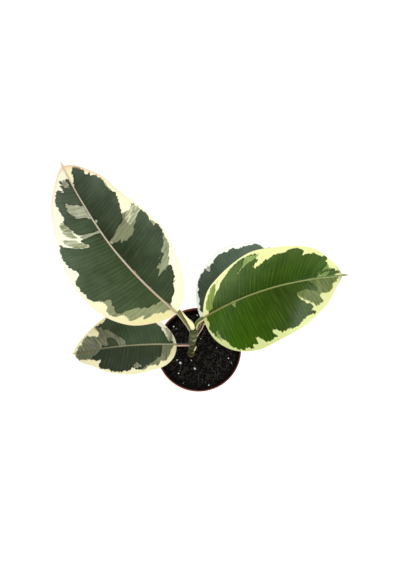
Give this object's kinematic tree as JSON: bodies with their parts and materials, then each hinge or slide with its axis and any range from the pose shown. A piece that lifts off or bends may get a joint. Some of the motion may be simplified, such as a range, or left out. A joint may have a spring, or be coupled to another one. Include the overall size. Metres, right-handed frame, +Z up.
{
  "type": "potted rubber plant",
  "caption": "Young rubber plant with broad variegated leaves on a single leaning stem, standing in soil in a round tapered nursery pot.",
  "frame": {"origin": "middle of the pot's underside, on the surface that it stands on", "axes": "+Z up; -Y towards the side that the picture was taken from, so +X is the picture's right"},
  "size_m": [0.301, 0.1962, 0.2993],
  "materials": {
    "pot_plastic": "satin",
    "potting_mix": "matte",
    "green_stem": "matte",
    "bud_sheath": "satin",
    "dark_leaf": "satin",
    "young_leaf": "satin"
  },
  "bodies": {
    "root": {"pot": "pot_plastic", "soil": "potting_mix", "stem": "green_stem", "terminal_bud": "bud_sheath", "side_bud": "bud_sheath", "leaf_back_left": "dark_leaf", "leaf_right": "young_leaf", "leaf_left_low": "dark_leaf", "leaf_back_low": "dark_leaf"}
  },
  "joints": []
}
